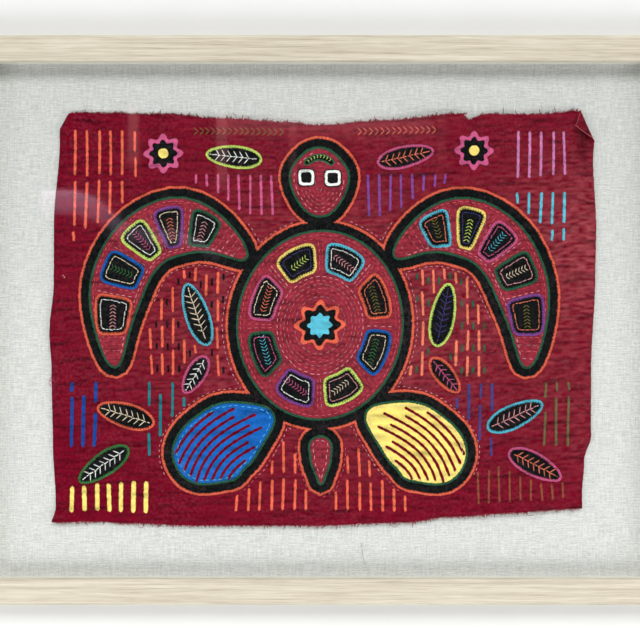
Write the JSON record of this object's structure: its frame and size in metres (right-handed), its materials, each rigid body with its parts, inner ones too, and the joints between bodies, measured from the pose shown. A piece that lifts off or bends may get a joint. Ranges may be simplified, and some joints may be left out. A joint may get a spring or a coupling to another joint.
{
  "type": "framed mola panel in its wood frame",
  "caption": "Layered maroon cotton mola panel laid on a linen board behind glass in a plain rectangular wood frame.",
  "frame": {"origin": "middle of the frame's back, on the surface that it lies on", "axes": "+X along the long side, to the right of the picture; +Y up the picture; +Z out of the picture, towards the viewer"},
  "size_m": [0.54, 0.432, 0.024],
  "materials": {
    "frame_wood": "pale limed wood, matt",
    "board": "plain brown hardboard",
    "linen": "slubby pale linen",
    "spacer": "pale spacer fillet",
    "glass": "clear picture glass",
    "ground_cotton": "maroon plain weave cotton",
    "black_cotton": "black plain weave cotton",
    "colour_cotton": "bright plain weave cotton pieces",
    "sewing_thread": "cotton sewing thread in many colours"
  },
  "bodies": {
    "root": {"back_board": "board", "black_layer": "black_cotton", "flower_1": "colour_cotton", "flower_2": "colour_cotton", "glazing": "glass", "ground_cloth": "ground_cotton", "head_field": "ground_cotton", "left_flipper_cell_1": "colour_cotton", "left_flipper_cell_2": "colour_cotton", "left_flipper_cell_3": "colour_cotton", "left_flipper_cell_4": "colour_cotton", "left_flipper_cell_5": "colour_cotton", "left_front_flipper": "ground_cotton", "left_hind_flipper": "colour_cotton", "left_leaf_1": "colour_cotton", "left_leaf_2": "colour_cotton", "left_leaf_3": "colour_cotton", "left_leaf_4": "colour_cotton", "left_leaf_5": "colour_cotton", "linen_board": "linen", "orange_edging": "colour_cotton", "rail_bottom": "frame_wood", "rail_left": "frame_wood", "rail_right": "frame_wood", "rail_top": "frame_wood", "right_flipper_cell_1": "colour_cotton", "right_flipper_cell_2": "colour_cotton", "right_flipper_cell_3": "colour_cotton", "right_flipper_cell_4": "colour_cotton", "right_flipper_cell_5": "colour_cotton", "right_front_flipper": "ground_cotton", "right_hind_flipper": "colour_cotton", "right_leaf_1": "colour_cotton", "right_leaf_2": "colour_cotton", "right_leaf_3": "colour_cotton", "right_leaf_4": "colour_cotton", "right_leaf_5": "colour_cotton", "shell_cell_1": "colour_cotton", "shell_cell_2": "colour_cotton", "shell_cell_3": "colour_cotton", "shell_cell_4": "colour_cotton", "shell_cell_5": "colour_cotton", "shell_cell_6": "colour_cotton", "shell_cell_7": "colour_cotton", "shell_cell_8": "colour_cotton", "shell_field": "ground_cotton", "shell_rosette": "colour_cotton", "spacer_bottom": "spacer", "spacer_left": "spacer", "spacer_right": "spacer", "spacer_top": "spacer", "tail_field": "ground_cotton"}
  },
  "joints": []
}
